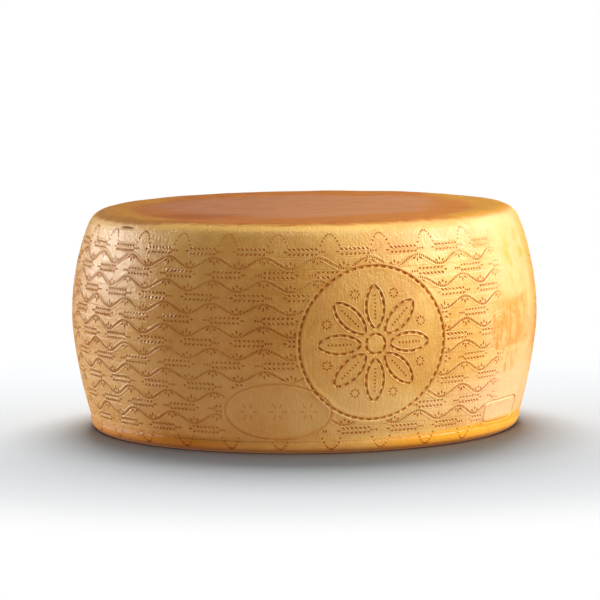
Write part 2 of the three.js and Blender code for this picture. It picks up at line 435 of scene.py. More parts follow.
def running_rows():
    """(dots, pointed pits): rows of ears, with vines between them and arches above and below."""
    dots, pointed = [], []
    stem, leaves = vine_cell()
    for cell in range(CELLS):
        for row in range(EAR_ROWS):
            stalk, grains = wheat_ear(1 if row % 2 else -1)
            bearing, level = (cell + 0.5 * (row % 2)) * CELL, TOP_EAR_LEVEL - ROW_PITCH * row
            dots += flat_pits(bearing, level, stalk, DOT)
            pointed += flat_pits(bearing, level, grains, GRAIN)
        for row in range(EAR_ROWS - 1):
            level = TOP_EAR_LEVEL - ROW_PITCH * (row + 0.5)
            dots += flat_pits(cell * CELL, level, stem, DOT)
            pointed += flat_pits(cell * CELL, level, leaves, LEAF)
        middle = (cell + 0.5) * CELL
        dots += flat_pits(middle, TOP_SCALLOP_LEVEL, scallop(1), DOT)
        dots += flat_pits(middle, LOW_SCALLOP_LEVEL, scallop(-1), DOT)
    return np.array(dots), np.array(pointed)


USUAL_DEPTH = 0.92  # what wear leaves of a pit's depth
WEAR = ((16, 0.35), (55, 0.3), (420, 0.35))  # patches to the metre, and how much they add or take
SHALLOWEST = 0.3  # of a pit's depth, below which it is worn away
WORN_SIZE = (0.55, 0.45)  # of a pit's length and width: what stays, and what goes as its depth goes


def depth_left(bearing, level):
    """How much of a pit's depth is left. It fades in patches, and close to the marks."""
    place = side_frame(bearing, level)[0]
    left = sum((bumps(place, many, high) for many, high in WEAR), start=USUAL_DEPTH)
    right_top = smooth(22 * DEG, 46 * DEG, bearing) * smooth(160 * MM, 172 * MM, level)
    left_top = smooth(-52 * DEG, -36 * DEG, bearing) * (1 - smooth(-8 * DEG, 4 * DEG, bearing))
    left_top = left_top * smooth(176 * MM, 184 * MM, level)
    bare = smooth(53 * DEG, 60 * DEG, bearing) * (1 - smooth(76 * DEG, 84 * DEG, bearing))
    left = left * (1 - 0.5 * right_top) * (1 - 0.4 * left_top) * (1 - bare)
    for mark in (*OUTLINED, PLATE):
        left = left * smooth(2.2 * MM, 3.6 * MM, outline_distance(mark, bearing, level))
    return np.clip(left, 0, 1.15)


def worn(pits):
    """The pits that wear has left, each as small and shallow as it has become."""
    pits[:, 0] = (pits[:, 0] + pi) % tau - pi
    left = depth_left(pits[:, 0], pits[:, 1])
    kept = left > SHALLOWEST
    pits, left = pits[kept], left[kept]
    stays, goes = WORN_SIZE
    pits[:, 3:5] *= (stays + goes * np.minimum(left, 1))[:, None]
    pits[:, 5] *= left
    return pits


# ---- The seal, the oval and the tag

LINE_ANGLES = np.linspace(0, tau, 400, endpoint=False)  # where the points of a closed line lie
EYE_RADIUS = 8.5 * MM
PETALS = 8
PETAL_START = 13 * MM
PETAL_LENGTH = 37 * MM
PETAL_WIDTH = 16 * MM
PETAL_POINT = 1.35  # 1 is an ellipse, and more draws the ends out to points
VEIN = np.linspace(0.24, 0.76, 7)  # how far along a petal each dot of its vein lies
BUD_PLACE = 46 * MM
BUD_RADIUS = 3.4 * MM
BUD_DOTS = 8
STAR_PLACES = (-27 * MM, 0, 27 * MM)
STAR_DASHES = 6
STAR_REACH = 5.8 * MM


def box_line(mark):
    """The line of a mark's outline."""
    right, above = np.cos(LINE_ANGLES), np.sin(LINE_ANGLES)
    share = 2 / mark.power
    right = mark.wide * np.sign(right) * np.abs(right) ** share
    return np.column_stack((right, mark.high * np.sign(above) * np.abs(above) ** share))


def petal_line(petal):
    along = PETAL_START + PETAL_LENGTH * (1 + np.cos(LINE_ANGLES)) / 2
    aside = np.sin(LINE_ANGLES)
    aside = PETAL_WIDTH / 2 * np.sign(aside) * np.abs(aside) ** PETAL_POINT
    heading = tau * petal / PETALS
    right = along * cos(heading) - aside * sin(heading)
    return np.column_stack((right, along * sin(heading) + aside * cos(heading)))


def even_steps(line, count):
    """(right, above, turn) at even steps along a closed line."""
    closed = np.vstack((line, line[:1]))
    run = np.concatenate(([0], np.cumsum(np.hypot(*np.diff(closed, axis=0).T))))

    def places(shift):
        at = (np.arange(count) + 0.5 + shift) % count / count * run[-1]
        return np.column_stack([np.interp(at, run, closed[:, axis]) for axis in (0, 1)])

    ahead = places(0.1) - places(-0.1)
    return np.column_stack((places(0), np.arctan2(ahead[:, 1], ahead[:, 0])))


def round_shapes(radius, count, middle, turned):
    """(right, above, turn) of shapes round a circle, each turned so far from pointing out of it."""
    right, above = middle
    angles = [tau * i / count for i in range(count)]
    return [(right + radius * cos(a), above + radius * sin(a), a + turned) for a in angles]


def seal_dots():
    """The dotted vein of each petal, and a small ring between each two petals."""
    shapes = []
    for petal in range(PETALS):
        vein, bud = tau * petal / PETALS, tau * (petal + 0.5) / PETALS
        for share in VEIN:
            along = PETAL_START + PETAL_LENGTH * share
            shapes.append((along * cos(vein), along * sin(vein), vein))
        middle = (BUD_PLACE * cos(bud), BUD_PLACE * sin(bud))
        shapes += round_shapes(BUD_RADIUS, BUD_DOTS, middle, pi / 2)
    return np.array(flat_pits(SEAL.bearing, SEAL.level, shapes, DOT))


def oval_stars():
    """Three faint stars of dashes."""
    shapes = []
    for right in STAR_PLACES:
        shapes += round_shapes(STAR_REACH, STAR_DASHES, (right, 0), 0)
    return np.array(flat_pits(OVAL.bearing, OVAL.level, shapes, STAR_DASH))


SEAL_LINES = [(box_line(SEAL), 60), (box_line(SEAL._replace(wide=EYE_RADIUS, high=EYE_RADIUS)), 8)]
SEAL_LINES += [(petal_line(petal), 12) for petal in range(PETALS)]  # each with its number of dashes


def seal_dashes():
    """The dashes pressed into the floor of the seal's grooves."""
    dashes = []
    for line, count in SEAL_LINES:
        dashes += flat_pits(SEAL.bearing, SEAL.level, even_steps(line, count), DASH)
    return np.array(dashes)


# ---- Cutting the pattern

def turned_frame(bearing, level, turn):
    """The places on the lumpy rind, and the directions along, aside and out of it for each turn."""
    place, across, up, out = side_frame(bearing, level)
    place = place + out * relief(place, bearing, level)[:, None]
    turn_cos, turn_sin = np.cos(turn)[:, None], np.sin(turn)[:, None]
    return place, across * turn_cos + up * turn_sin, up * turn_cos - across * turn_sin, out


def corner_points(pits, corners, floor):
    """Each pit's corners where its cutter stands out of the rind, and those of its floor.

    corners are (along, aside) as shares of half the length and width. floor is the share of them
    that the pit keeps at its full depth, and 0 makes it a point.
    """
    bearing, level, turn, length, width, depth = pits.T
    place, along, aside, out = turned_frame(bearing, level, turn)
    spread = 1 + PIT_LIFT / depth * (1 - floor)

    def ring(share, height):
        rows = []
        for a, b in corners:
            move = along * (a * share * length / 2)[:, None] + aside * (b * share * width / 2)[:, None]
            rows.append(settle(place + move + out * height[:, None]))
        return rows

    top = ring(spread, np.full_like(depth, PIT_LIFT))
    if floor:
        return top + ring(np.full_like(depth, floor), -depth)
    return top + [settle(place - out * depth[:, None])]


def cutter_mesh(name, pits, corners, floor):
    """One mesh of a closed cutter for each pit: a pyramid on its point, or with a flat floor."""
    points = np.stack(corner_points(pits, corners, floor), axis=1)
    count, each = len(pits), points.shape[1]
    n = len(corners)
    faces = [tuple(range(n))]
    if floor:
        faces += [((i + 1) % n, i, n + i, n + (i + 1) % n) for i in range(n)]
        faces.append(tuple(range(2 * n - 1, n - 1, -1)))
    else:
        faces += [((i + 1) % n, i, n) for i in range(n)]
    all_faces = [tuple(k * each + i for i in face) for k in range(count) for face in faces]
    return new_cutter(name, points.reshape(-1, 3), all_faces)


POINTED = ((1, 0), (0, 1), (-1, 0), (0, -1))
SQUARE = ((1, -1), (1, 1), (-1, 1), (-1, -1))
BAR = ((1, -0.7), (1, 0.7), (0.8, 1), (-0.8, 1), (-1, 0.7), (-1, -0.7), (-0.8, -1), (0.8, -1))
BAR_FLOOR = 0.72

GROOVE_STEP = 2.6 * MM
GROOVE_LIFT = 0.6 * MM  # how far its cutter stands out of the rind
SEAL_GROOVE = (2.7 * MM, 1.5 * MM, 0.6 * MM)  # width at the rind, width of the floor, depth
THIN_GROOVE = (2.2 * MM, 1.0 * MM, 0.7 * MM)


def groove_cutter(name, lines, width, floor, depth):
    """A closed ring along each (mark, line), narrower at the groove's floor."""
    flare = width + (width - floor) * GROOVE_LIFT / depth
    section = ((-flare, GROOVE_LIFT), (flare, GROOVE_LIFT), (floor, -depth), (-floor, -depth))
    points, faces = [], []
    for mark, line in lines:
        length = np.hypot(*(line - np.roll(line, 1, axis=0)).T).sum()
        steps = even_steps(line, round(length / GROOVE_STEP))
        bearing, level = mark.bearing + steps[:, 0] / BELLY_RADIUS, mark.level + steps[:, 1]
        place, _, aside, out = turned_frame(bearing, level, steps[:, 2])
        start, count = len(points), len(steps)
        rings = [settle(place + aside * (half / 2) + out * height) for half, height in section]
        points += list(np.stack(rings, axis=1).reshape(-1, 3))
        for i in range(count):
            here, ahead = start + 4 * i, start + 4 * ((i + 1) % count)
            faces += [(here + k, ahead + k, ahead + (k + 1) % 4, here + (k + 1) % 4) for k in range(4)]
    return new_cutter(name, points, faces)


def new_cutter(name, points, faces):
    mesh = bpy.data.meshes.new(name)
    mesh.from_pydata(points, [], faces)
    cutter = bpy.data.objects.new(name, mesh)
    bpy.context.scene.collection.objects.link(cutter)
    return cutter


def cut(body, cutter):
    """Takes the cutter out of the body. The new faces keep the cutter's material."""
    bpy.ops.object.select_all(action="DESELECT")
    bpy.context.view_layer.objects.active = body
    body.select_set(True)
    modifier = body.modifiers.new("cut", "BOOLEAN")
    modifier.operation = "DIFFERENCE"
    modifier.solver = "MANIFOLD"
    modifier.material_mode = "TRANSFER"
    modifier.object = cutter
    bpy.ops.object.modifier_apply(modifier=modifier.name)
    bpy.data.objects.remove(cutter)


def smooth_normals(whole):
    """A finder of the uncut body's smooth normal at any place near its surface."""
    mesh = whole.data
    mesh.calc_loop_triangles()
    triangles = read(mesh.loop_triangles, "vertices", 3, int)
    points, normals = read(mesh.vertices, "co", 3), read(mesh.vertices, "normal", 3)
    tree = BVHTree.FromPolygons(points.tolist(), triangles.tolist(), all_triangles=True)

    def find(places):
        nearest = [tree.find_nearest(Vector(p)) for p in places]
        corner = triangles[[hit[2] for hit in nearest]]
        spot = np.array([hit[0] for hit in nearest])
        a, b, c = (points[corner[:, k]] for k in range(3))
        across = np.cross(b - a, c - a)
        area = np.einsum("ij,ij->i", across, across)
        weight_b = np.einsum("ij,ij->i", np.cross(spot - a, c - a), across) / area
        weight_c = np.einsum("ij,ij->i", np.cross(b - a, spot - a), across) / area
        weights = np.column_stack((1 - weight_b - weight_c, weight_b, weight_c))
        found = sum(normals[corner[:, k]] * weights[:, k : k + 1] for k in range(3))
        return found / np.linalg.norm(found, axis=1)[:, None]

    return find


def keep_smooth(body, find_normal):
    """Shades the rind as the uncut body was, and leaves the pits' own faces flat."""
    mesh = body.data
    mesh.polygons.foreach_set("use_smooth", np.ones(len(mesh.polygons), dtype=bool))
    loop_vertex = read(mesh.loops, "vertex_index", kind=int)
    counts = read(mesh.polygons, "loop_total", kind=int)
    loop_normals = np.repeat(read(mesh.polygons, "normal", 3), counts, axis=0)
    on_rind = np.repeat(read(mesh.polygons, "material_index", kind=int) == 0, counts)
    used = np.unique(loop_vertex[on_rind])
    rind_normals = np.zeros((len(mesh.vertices), 3))
    rind_normals[used] = find_normal(read(mesh.vertices, "co", 3)[used])
    loop_normals[on_rind] = rind_normals[loop_vertex[on_rind]]
    mesh.normals_split_custom_set(loop_normals.tolist())


FINER_NEAR = (7 * MM, 4.5 * MM)  # how near the marks the body's faces are halved, once for each


def make_wheel(rind, groove, pit):
    body = turn_body()
    for reach in FINER_NEAR:
        divide_near_marks(body, reach)
    shape_body(body)
    body.data.materials.append(rind)
    find_normal = smooth_normals(body)
    deep_lines = [(SEAL, line) for line, _ in SEAL_LINES]
    shallow_lines = [(OVAL, box_line(OVAL)), (TAG, box_line(TAG))]
    dots, pointed = running_rows()
    cuts = (
        (groove, groove_cutter("seal_grooves", deep_lines, *SEAL_GROOVE)),
        (groove, groove_cutter("outline_grooves", shallow_lines, *THIN_GROOVE)),
        (pit, cutter_mesh("dot_pits", np.concatenate((worn(dots), seal_dots())), SQUARE, 0)),
        (pit, cutter_mesh("pointed_pits", worn(pointed), POINTED, 0)),
        (pit, cutter_mesh("seal_dashes", seal_dashes(), BAR, BAR_FLOOR)),
        (groove, cutter_mesh("oval_stars", oval_stars(), BAR, BAR_FLOOR)),
    )
    for material, cutter in cuts:
        cutter.data.materials.append(material)
        cut(body, cutter)
    keep_smooth(body, find_normal)
    return body


# ---- Materials

def rgb(red, green, blue):
    """A colour as read off a screen, 0 to 255, as the shader's linear colour."""
    def linear(value):
        share = value / 255
        return share / 12.92 if share <= 0.04045 else ((share + 0.055) / 1.055) ** 2.4
    return (linear(red), linear(green), linear(blue), 1)


class Shader:
    """A material's or a world's nodes, with short calls. A value may be a number or a socket."""

    def __init__(self, owner):
        owner.use_nodes = True
        self.owner = owner
        self.tree = owner.node_tree
        self.tree.nodes.clear()

    def node(self, kind, inputs=None, **settings):
        made = self.tree.nodes.new(kind)
        for name, value in settings.items():
            setattr(made, name, value)
        for name, value in (inputs or {}).items():
            if isinstance(value, bpy.types.NodeSocket):
                self.tree.links.new(value, made.inputs[name])
            else:
                made.inputs[name].default_value = value
        return made

    def math(self, operation, a, b=0.0, clamp=False):
        return self.node("ShaderNodeMath", {0: a, 1: b}, operation=operation, use_clamp=clamp).outputs[0]

    plus = partialmethod(math, "ADD")
    minus = partialmethod(math, "SUBTRACT")
    over = partialmethod(math, "DIVIDE")
    larger = partialmethod(math, "MAXIMUM")
    absolute = partialmethod(math, "ABSOLUTE")

    def times(self, *values):
        product = values[0]
        for value in values[1:]:
            product = self.math("MULTIPLY", product, value)
        return product

    def step(self, value, low, high, start=0.0, end=1.0):
        """Goes smoothly from start to end as value goes from low to high."""
        if low > high:
            low, high, start, end = high, low, end, start
        inputs = {"Value": value, "From Min": low, "From Max": high, "To Min": start, "To Max": end}
        return self.node("ShaderNodeMapRange", inputs, interpolation_type="SMOOTHSTEP").outputs["Result"]

    def mix(self, factor, a, b, blend="MIX"):
        inputs = {0: factor, 6: a, 7: b}
        return self.node("ShaderNodeMix", inputs, data_type="RGBA", blend_type=blend).outputs[2]

    def band(self, value, low, high, soft):
        """1 from low to high, fading over soft on both sides of each."""
        rise = self.step(value, low - soft, low + soft)
        return self.times(rise, self.step(value, high + soft, high - soft))

    def oval(self, x, y, middle, reach, wobble):
        """How far out a place lies in an ellipse: 1 on its edge, which wobble moves in and out."""
        far = []
        for value, centre, half in ((x, middle[0], reach[0]), (y, middle[1], reach[1])):
            share = self.over(self.minus(value, centre), half)
            far.append(self.times(share, share))
        return self.plus(self.math("SQRT", self.plus(*far)), wobble)

    def camera_sees(self, seen, otherwise):
        """One surface for the camera's own rays, and another for all others."""
        to_camera = self.node("ShaderNodeLightPath").outputs["Is Camera Ray"]
        return self.node("ShaderNodeMixShader", {0: to_camera, 1: otherwise, 2: seen}).outputs[0]


class RindShader(Shader):
    """A rind's nodes, with where a point lies as sockets. The level is from before the wheel settled."""

    def __init__(self, name):
        super().__init__(bpy.data.materials.new(name))
        self.place = self.node("ShaderNodeTexCoord").outputs["Object"]
        self.x, self.y, settled = self.node("ShaderNodeSeparateXYZ", {0: self.place}).outputs
        self.bearing = self.math("ARCTAN2", self.x, self.times(self.y, -1.0))
        self.level = self.minus(settled, self.times(settled, self.x, TOP_TILT / HEIGHT / BELLY_RADIUS))
        self.cells = self.over(self.bearing, CELL)
        self.rows = self.over(self.minus(self.level, LOW_EAR_LEVEL), ROW_PITCH)

    def noise(self, scale, detail, rough=0.5, warp=0.0, stretch=None):
        """Noise over the wheel, drawn out along an axis where its stretch is under 1."""
        place = self.place
        if stretch:
            place = self.node("ShaderNodeMapping", {"Vector": place, "Scale": stretch}).outputs[0]
        inputs = {"Vector": place, "Scale": scale, "Detail": detail, "Roughness": rough, "Distortion": warp}
        return self.node("ShaderNodeTexNoise", inputs).outputs[0]

    def bearing_band(self, low, high, soft):
        """1 between two bearings in degrees, with soft sides."""
        return self.band(self.bearing, low * DEG, high * DEG, soft * DEG)

    def level_band(self, low, high, soft):
        """1 between two levels in millimetres, with soft sides."""
        return self.band(self.level, low * MM, high * MM, soft * MM)

    def mark_share(self, mark, grown=1.0):
        """How far out a place lies on a mark that has grown: 1 on its edge."""
        reach = (mark.wide * grown / BELLY_RADIUS, mark.high * grown)
        return self.oval(self.bearing, self.level, (mark.bearing, mark.level), reach, 0.0)


STRAW = rgb(240, 198, 116)
TAN = rgb(228, 178, 94)
PALE = rgb(246, 216, 148)
# Tan of the clouds and of the side beyond the cream, and of painted shade at the far left.
CLOUD_AND_SHADE_TAN = rgb(214, 158, 82)
STAIN = rgb(240, 182, 84)
CRUST_TAN = rgb(228, 166, 82)
CRUST = rgb(222, 150, 66)
PALE_CREAM = rgb(252, 213, 160)
# Pale rose, also the colour of a painted highlight at the left.
PALE_ROSE = rgb(252, 214, 172)
GOLDEN = (1.0, 0.84, 0.85, 1)
# A browner tone above and left of the seal, partly painted shade.
BROWN_SHADE_PATCH = (0.86, 0.79, 0.70, 1)
TOP_PINK = rgb(199, 134, 86)
TOP_BROWN = rgb(199, 122, 42)
TOP_GOLD = rgb(209, 148, 50)
TOP_BURNT = (0.86, 0.74, 0.60, 1)
TOP_LEFT_SHADE = (0.77, 0.70, 0.75, 1)  # painted shade that darkens the left of the top
TOP_DARK = (0.80, 0.66, 0.56, 1)
EDGE_GOLD = rgb(255, 206, 118)
EDGE_TAN = rgb(234, 186, 118)
FOOT_ORANGE = rgb(246, 178, 44)
FOOT_BROWN = rgb(214, 144, 8)
# A browner crust and painted contact shade at the base.
BASE_SHADE_BROWN = (0.34, 0.27, 0.21, 1)
# A painted shadow line at the foot's ledge.
LEDGE_SHADOW_BROWN = rgb(196, 130, 52)
NICK_BROWN = rgb(138, 78, 26)

PINK_MIDDLE, PINK_REACH = (-5 * MM, 24 * MM), (129 * MM, 122 * MM)
GOLD_START = 154 * MM  # how far out the top's brown gives way to gold at the sides
TOP_FADE = (182 * MM / GOLD_START, 175 * MM / GOLD_START)  # as shares of it, from the side to the top
BURNT_MIDDLE, BURNT_REACH = (-98 * MM, -78 * MM), (58 * MM, 38 * MM)
EDGE_START = (190.4 * MM, 192.4 * MM)  # the levels between which the edge's bright line sets in
EDGE_END = (194.2 * MM, 197.6 * MM)  # those between which the top's brown takes over from it
EDGE_RISE = 2.4 * MM  # how much higher the line starts at the right
EDGE_DROOP = 2.6 * MM  # how much lower the top's brown reaches at the left


def top_colours(rind, colour):
    """The top's pink middle, the brown round it, gold at the sides, the edge's bright line, and painted
    shade towards its left.
    """
    swirl = rind.step(rind.noise(13, 4, 0.6), 0.25, 0.75, -0.14, 0.14)
    fine = rind.noise(150, 5, 0.65, 0.4, stretch=(0.3, 1, 1))
    core = rind.oval(rind.x, rind.y, PINK_MIDDLE, PINK_REACH, swirl)
    out = rind.oval(rind.x, rind.y, (0, 0), (GOLD_START, GOLD_START), rind.times(swirl, 0.15))
    on_left = rind.bearing_band(-115, -44, 12)
    on_right = rind.bearing_band(22, 125, 10)
    uneven = rind.step(fine, 0.3, 0.7, -0.5 * MM, 0.5 * MM)
    level = rind.plus(rind.level, rind.plus(uneven, rind.times(on_left, EDGE_DROOP)))
    flat = rind.larger(rind.step(out, *TOP_FADE), rind.step(level, *EDGE_END))
    over_edge = rind.minus(level, rind.times(on_right, EDGE_RISE))
    edge = rind.times(rind.step(over_edge, *EDGE_START), rind.step(on_left, 0, 1, 0.9, 0.4))
    sideways = rind.step(rind.absolute(rind.x), 100 * MM, 140 * MM)
    colour = rind.mix(edge, colour, rind.mix(on_right, EDGE_GOLD, EDGE_TAN))
    colour = rind.mix(flat, colour, TOP_BROWN)
    gold = rind.times(flat, rind.step(out, 0.95, 1.06), sideways)
    colour = rind.mix(gold, colour, TOP_GOLD)
    pink = rind.times(flat, rind.step(core, 1.14, 0.86))
    colour = rind.mix(pink, colour, TOP_PINK)
    burnt = rind.oval(rind.x, rind.y, BURNT_MIDDLE, BURNT_REACH, swirl)
    colour = rind.mix(rind.times(flat, rind.step(burnt, 1.1, 0.5)), colour, TOP_BURNT, "MULTIPLY")
    # Painted shade: the top darkens towards the left.
    dull = rind.times(flat, rind.step(rind.x, 170 * MM, -170 * MM))
    colour = rind.mix(dull, colour, TOP_LEFT_SHADE, "MULTIPLY")
    dark = rind.times(flat, rind.step(fine, 0.4, 0.66, 0.0, 0.6))
    return rind.mix(dark, colour, TOP_DARK, "MULTIPLY"), flat


# Middle and reach, both in degrees round and millimetres up, then how much it colours.
TONE_AND_LIGHT_PATCHES = (
    ((2, 138), (24, 52), 0.9, BROWN_SHADE_PATCH, "MULTIPLY"),  # above the seal and left of it, a browner tone that is partly painted shade
    ((14, 34), (30, 22), 0.7, PALE, "MIX"),  # below the seal, painted light that makes it paler
    ((-36, 52), (40, 34), 0.5, PALE, "MIX"),  # low on the left, painted light that makes it paler
    ((34, 180), (24, 12), 0.7, GOLDEN, "MULTIPLY"),  # under the edge at the right
    ((60, 38), (26, 26), 0.7, PALE_ROSE, "MIX"),  # above the tag
    ((-58, 160), (16, 34), 0.45, PALE_ROSE, "MIX"),  # a painted highlight at the left
    ((-84, 128), (19, 60), 0.75, CLOUD_AND_SHADE_TAN, "MIX"),  # painted shade at the far left
)


def tone_and_light_patches(rind, colour):
    """Cream towards the right and tan beyond it, and patches of other tones, some of which are painted
    light and shade.
    """
    wobble = rind.step(rind.noise(22, 3, 0.6), 0.3, 0.7, -0.25, 0.25)
    aside = rind.plus(rind.bearing, rind.times(wobble, 0.25))
    cream = rind.times(rind.band(aside, 50 * DEG, 80 * DEG, 8 * DEG), 0.65)
    colour = rind.mix(cream, colour, PALE_CREAM)
    high_up = rind.level_band(72, 148, 18)
    beyond = rind.times(rind.band(aside, 77 * DEG, 125 * DEG, 8 * DEG), high_up, 0.9)
    colour = rind.mix(beyond, colour, CLOUD_AND_SHADE_TAN)
    for (bearing, level), (wide, high), most, tone, blend in TONE_AND_LIGHT_PATCHES:
        middle, reach = (bearing * DEG, level * MM), (wide * DEG, high * MM)
        patch = rind.oval(rind.bearing, rind.level, middle, reach, wobble)
        colour = rind.mix(rind.step(patch, 1.3, 0.45, 0.0, most), colour, tone, blend)
    return colour


def side_stains(rind, colour):
    """Yellow blots at the upper right, and the crusty patch with its streaks."""
    blots = rind.step(rind.noise(42, 3, 0.6, 0.3), 0.44, 0.66)
    blotted = rind.times(rind.bearing_band(54, 92, 7), rind.level_band(112, 178, 10), blots)
    colour = rind.mix(rind.times(blotted, 0.75), colour, STAIN)
    streaks = rind.noise(270, 3, 0.55, stretch=(1, 1, 1 / 8))
    ragged = rind.step(rind.noise(70, 4, 0.7), 0.3, 0.7, -1.0, 1.0)
    half, high = PLATE.wide / BELLY_RADIUS, PLATE.high
    aside = rind.plus(rind.bearing, rind.times(ragged, 1.2 * DEG))
    level = rind.plus(rind.level, rind.times(ragged, 2.2 * MM))
    patch = rind.times(rind.band(aside, PLATE.bearing - half, PLATE.bearing + half, 2 * DEG),
                       rind.band(level, PLATE.level - high, PLATE.level + high, 3 * MM))
    crust = rind.step(rind.noise(75, 5, 0.75, 0.3), 0.38, 0.6, 0.3, 1.0)
    colour = rind.mix(rind.times(patch, crust, 0.85), colour, CRUST_TAN)
    from_middle = rind.absolute(rind.minus(level, PLATE.level))
    hem = rind.times(patch, rind.band(from_middle, high - 1.6 * MM, high + 0.4 * MM, 1 * MM), ragged)
    colour = rind.mix(rind.times(hem, 0.8), colour, CRUST)
    below = rind.times(rind.bearing_band(58, 72, 2), rind.level_band(58, 76, 3))
    streaked = rind.larger(patch, below)
    return rind.mix(rind.times(streaked, rind.step(streaks, 0.52, 0.66, 0.0, 0.85)), colour, CRUST)


FOOT_RISE = 3.5 * MM  # how much higher the foot's colour reaches at the right


def rind_colour(rind):
    mottle = rind.noise(14, 3, 0.55, 0.4)
    colour = rind.mix(rind.step(mottle, 0.35, 0.66), TAN, STRAW)
    clouds = rind.step(rind.noise(48, 4, 0.6, 0.3), 0.48, 0.72, 0.0, 0.35)
    colour = rind.mix(clouds, colour, CLOUD_AND_SHADE_TAN)
    fine = rind.noise(160, 4, 0.65)
    colour = rind.mix(rind.step(fine, 0.4, 0.75, 0.0, 0.4), colour, PALE)
    colour = side_stains(rind, tone_and_light_patches(rind, colour))
    high_foot = rind.times(rind.bearing_band(46, 125, 14), FOOT_RISE)
    at_foot = rind.step(rind.minus(rind.level, high_foot), 15.5 * MM, 10.5 * MM)
    # The foot's band is orange, its own colour, made strongest where the key light falls: partly painted
    # light.
    lit_foot = rind.bearing_band(20, 100, 14)
    orange_where_lit = rind.times(at_foot, rind.step(lit_foot, 0, 1, 0.1, 0.95))
    colour = rind.mix(orange_where_lit, colour, FOOT_ORANGE)
    brown_foot = rind.times(at_foot, rind.bearing_band(-95, -20, 12))
    colour = rind.mix(rind.times(brown_foot, 0.9), colour, FOOT_BROWN)
    # Darker towards the base: a browner crust and painted contact shade.
    colour = rind.mix(rind.step(rind.level, 6 * MM, 1.5 * MM, 0.0, 0.95), colour, BASE_SHADE_BROWN, "MULTIPLY")
    # A painted shadow line at the foot's ledge.
    ledge_shadow = rind.level_band(10.3, 11.1, 0.4)
    colour = rind.mix(rind.times(ledge_shadow, 0.6), colour, LEDGE_SHADOW_BROWN)
    return colour


LINE_LIP = (1.5 * MM, 2.2 * MM, 0.5 * MM)  # where a lip starts and ends beside a line, and how softly


def vine_lips(rind):
    """1 on the low ridges that run along both sides of each vine."""
    phase = rind.times(rind.cells, tau)
    off_row = rind.minus(rind.math("FRACT", rind.rows), 0.5)
    swing = rind.times(rind.math("SINE", phase), VINE_SWING)
    above = rind.minus(rind.times(off_row, ROW_PITCH), swing)
    slope = rind.times(rind.math("COSINE", phase), VINE_SWING * CELLS / BELLY_RADIUS)
    steep = rind.math("SQRT", rind.plus(rind.times(slope, slope), 1.0))
    away = rind.absolute(rind.over(above, steep))
    return rind.times(rind.band(away, *LINE_LIP), rind.band(rind.rows, 0, EAR_ROWS - 1, 0.1))


def ear_lips(rind):
    """1 on the low rims round the grains of each ear."""
    row = rind.math("ROUND", rind.rows)
    odd = rind.math("FLOORED_MODULO", row, 2.0)
    facing = rind.minus(rind.times(odd, 2.0), 1.0)
    cells = rind.minus(rind.cells, rind.times(odd, 0.5))
    off_middle = rind.minus(cells, rind.math("ROUND", cells))
    right = rind.times(off_middle, facing, CELL_WIDTH)
    pair = rind.over(rind.minus(right, EAR_START), EAR_STEP)
    off_pair = rind.times(rind.minus(pair, rind.math("ROUND", pair)), EAR_STEP)
    above = rind.times(rind.absolute(rind.minus(rind.rows, row)), ROW_PITCH)
    above = rind.minus(above, GRAIN_ASIDE)
    turn_cos, turn_sin = cos(GRAIN_TURN), sin(GRAIN_TURN)
    along = rind.plus(rind.times(off_pair, turn_cos), rind.times(above, turn_sin))
    aside = rind.minus(rind.times(above, turn_cos), rind.times(off_pair, turn_sin))
    share = rind.plus(rind.over(rind.absolute(along), GRAIN[0] / 2),
                      rind.over(rind.absolute(aside), GRAIN[1] / 2))
    rim = rind.band(share, 1.3, 1.75, 0.25)
    return rind.times(rim, rind.band(pair, -0.5, EAR_PAIRS - 0.5, 0.1))


def petal_lips(rind):
    """1 beside the outline of each petal of the seal."""
    right = rind.times(rind.minus(rind.bearing, SEAL.bearing), BELLY_RADIUS)
    above = rind.minus(rind.level, SEAL.level)
    petal = rind.over(rind.math("ARCTAN2", above, right), tau / PETALS)
    turn = rind.times(rind.minus(petal, rind.math("ROUND", petal)), tau / PETALS)
    far = rind.math("SQRT", rind.plus(rind.times(right, right), rind.times(above, above)))
    along = rind.times(far, rind.math("COSINE", turn))
    aside = rind.absolute(rind.times(far, rind.math("SINE", turn)))
    middle, half = PETAL_START + PETAL_LENGTH / 2, PETAL_LENGTH / 2
    share = rind.over(rind.minus(along, middle), half)
    left = rind.larger(rind.minus(1.0, rind.times(share, share)), 0.0)
    edge = rind.times(rind.math("POWER", left, PETAL_POINT / 2), PETAL_WIDTH / 2)
    away = rind.absolute(rind.minus(aside, edge))
    return rind.times(rind.band(away, *LINE_LIP), rind.band(share, -1.05, 1.05, 0.05))


def in_rows(rind):
    """1 where the running rows are, and 0 on the marks and the bare patch."""
    bare = rind.bearing_band(57, 80, 4)
    for mark in OUTLINED:
        bare = rind.larger(bare, rind.step(rind.mark_share(mark, grown=1.04), 1.03, 0.97))
    rows = rind.band(rind.rows, -0.25, EAR_ROWS - 0.75, 0.05)
    return rind.times(rows, rind.minus(1.0, bare))


# Relief in millimetres.
GRAIN_COARSE = 0.75  # on the left
GRAIN_FINE = 0.45
CLOTH_HIGH = 0.4
LIP_LOW = 0.28
LIP_PROUD = 0.45  # on the left
BAND_HIGH = 0.15
LEDGE_HIGH = 0.4

EAR_LIP_SHARE = 0.65  # of a vine's lip
LEAST_ROUGH, MOST_ROUGH = 0.26, 0.40
DULL = 0.5  # how much rougher the top and the nick are


